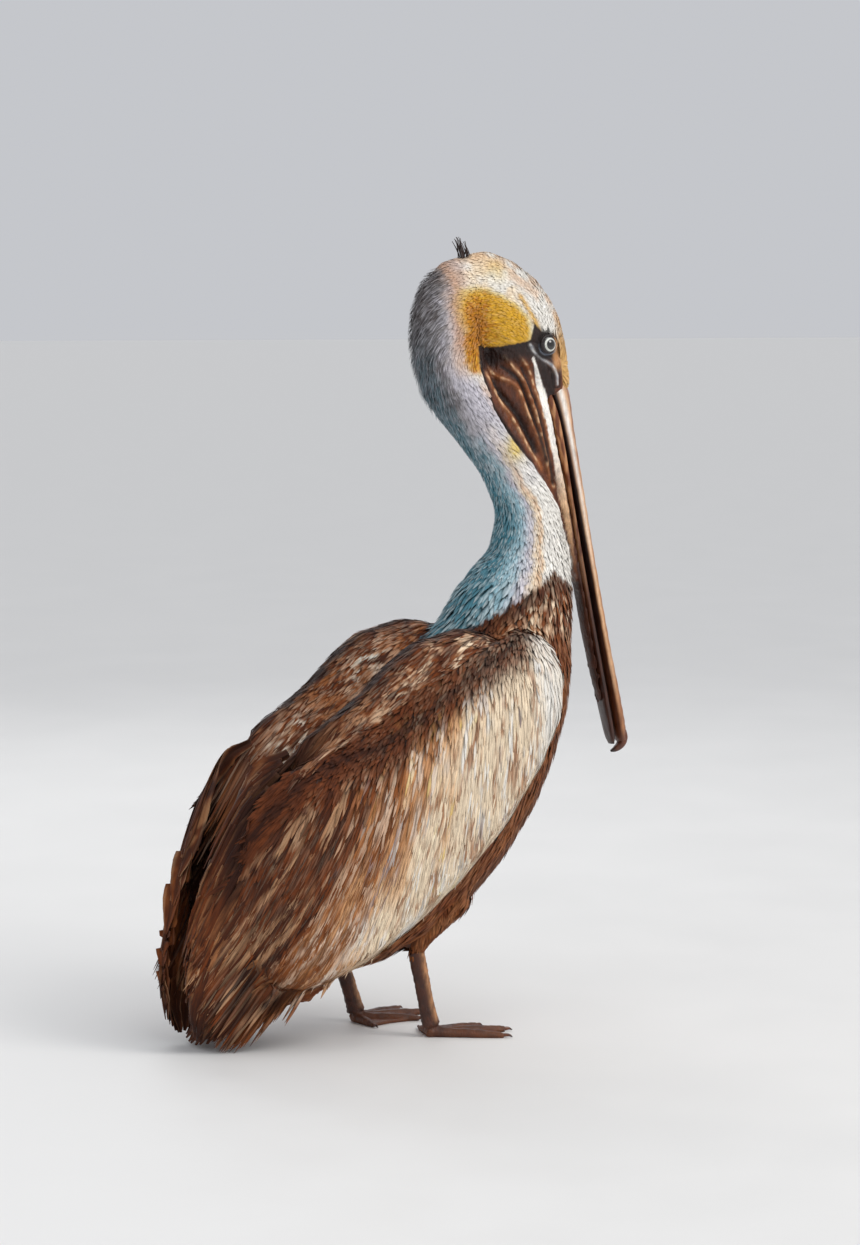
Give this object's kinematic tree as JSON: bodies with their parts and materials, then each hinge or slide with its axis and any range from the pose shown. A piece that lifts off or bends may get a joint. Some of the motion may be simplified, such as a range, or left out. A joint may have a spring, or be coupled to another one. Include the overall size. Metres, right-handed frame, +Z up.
{
  "type": "brown pelican figure",
  "caption": "Life-size still model of a brown pelican standing at rest, head drawn in and the long bill laid down against its neck.",
  "frame": {"origin": "on the floor under the soles, in the middle of the bird's length and width", "axes": "+X the way the bird faces, +Y its left side, +Z up"},
  "size_m": [0.4246, 0.1946, 0.6589],
  "materials": {
    "body_plumage": "matt dark brown contour feathers",
    "neck_plumage": "matt blue-grey and cream hair-like feathers",
    "head_plumage": "matt cream and golden-yellow short feathers",
    "crest_plumage": "matt dark brown wisps",
    "covert_plumage": "matt brown coverts with cream and tan streaks",
    "flight_plumage": "matt dark brown flight feathers with pale shafts",
    "pouch_skin": "soft folded bare skin, satin",
    "bill_horn": "horn, satin, pinkish tan",
    "dark_bill_horn": "horn, satin, dark brown",
    "leg_skin": "scaled skin, satin",
    "claw_horn": "horn, semi-gloss, near black",
    "eye": "wet, glossy, pale iris with black pupil"
  },
  "bodies": {
    "root": {"trunk": "body_plumage", "neck_base": "neck_plumage", "neck_lower": "neck_plumage", "neck_middle": "neck_plumage", "neck_upper": "neck_plumage", "head": "head_plumage", "pouch": "pouch_skin", "bill_upper": "bill_horn", "bill_lower": "dark_bill_horn", "bill_nail": "dark_bill_horn", "tail": "flight_plumage", "crest_1": "crest_plumage", "crest_2": "crest_plumage", "eye_left": "eye", "wing_left_coverts": "covert_plumage", "wing_left_scapulars": "covert_plumage", "wing_left_secondaries": "flight_plumage", "wing_left_primaries": "flight_plumage", "thigh_left": "body_plumage", "tarsus_left": "leg_skin", "foot_left": "leg_skin", "claw_left_outer": "claw_horn", "claw_left_middle": "claw_horn", "claw_left_inner": "claw_horn", "claw_left_hind": "claw_horn", "eye_right": "eye", "wing_right_coverts": "covert_plumage", "wing_right_scapulars": "covert_plumage", "wing_right_secondaries": "flight_plumage", "wing_right_primaries": "flight_plumage", "thigh_right": "body_plumage", "tarsus_right": "leg_skin", "foot_right": "leg_skin", "claw_right_outer": "claw_horn", "claw_right_middle": "claw_horn", "claw_right_inner": "claw_horn", "claw_right_hind": "claw_horn"}
  },
  "joints": []
}
